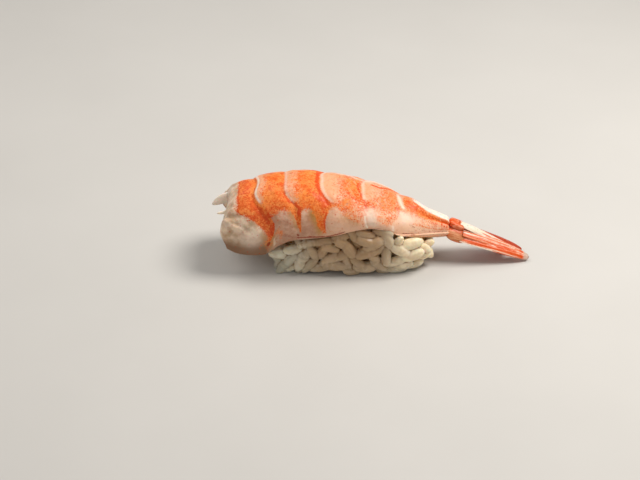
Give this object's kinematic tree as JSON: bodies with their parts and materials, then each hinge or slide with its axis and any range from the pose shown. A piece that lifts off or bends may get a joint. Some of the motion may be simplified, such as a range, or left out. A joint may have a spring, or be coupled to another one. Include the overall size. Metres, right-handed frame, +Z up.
{
  "type": "shrimp nigiri",
  "caption": "Hand-pressed block of sushi rice topped with a cooked, butterflied shrimp that drapes over it and keeps its tail fan.",
  "frame": {"origin": "middle of the flat underside of the rice block", "axes": "+X along the shrimp from its cut head end to its tail, +Y from the front side to the back side, +Z up"},
  "size_m": [0.0991, 0.0256, 0.0294],
  "materials": {
    "rice": "moist, slightly translucent cooked rice",
    "shrimp": "moist cooked meat, orange over cream white",
    "tail_shell": "thin glossy shell, salmon with cream parts"
  },
  "bodies": {
    "root": {"rice_block": "rice", "shrimp_meat": "shrimp", "tail_telson": "tail_shell", "tail_fin_near_inner": "tail_shell", "tail_fin_near_outer": "tail_shell", "tail_fin_far_inner": "tail_shell", "tail_fin_far_outer": "tail_shell"}
  },
  "joints": []
}
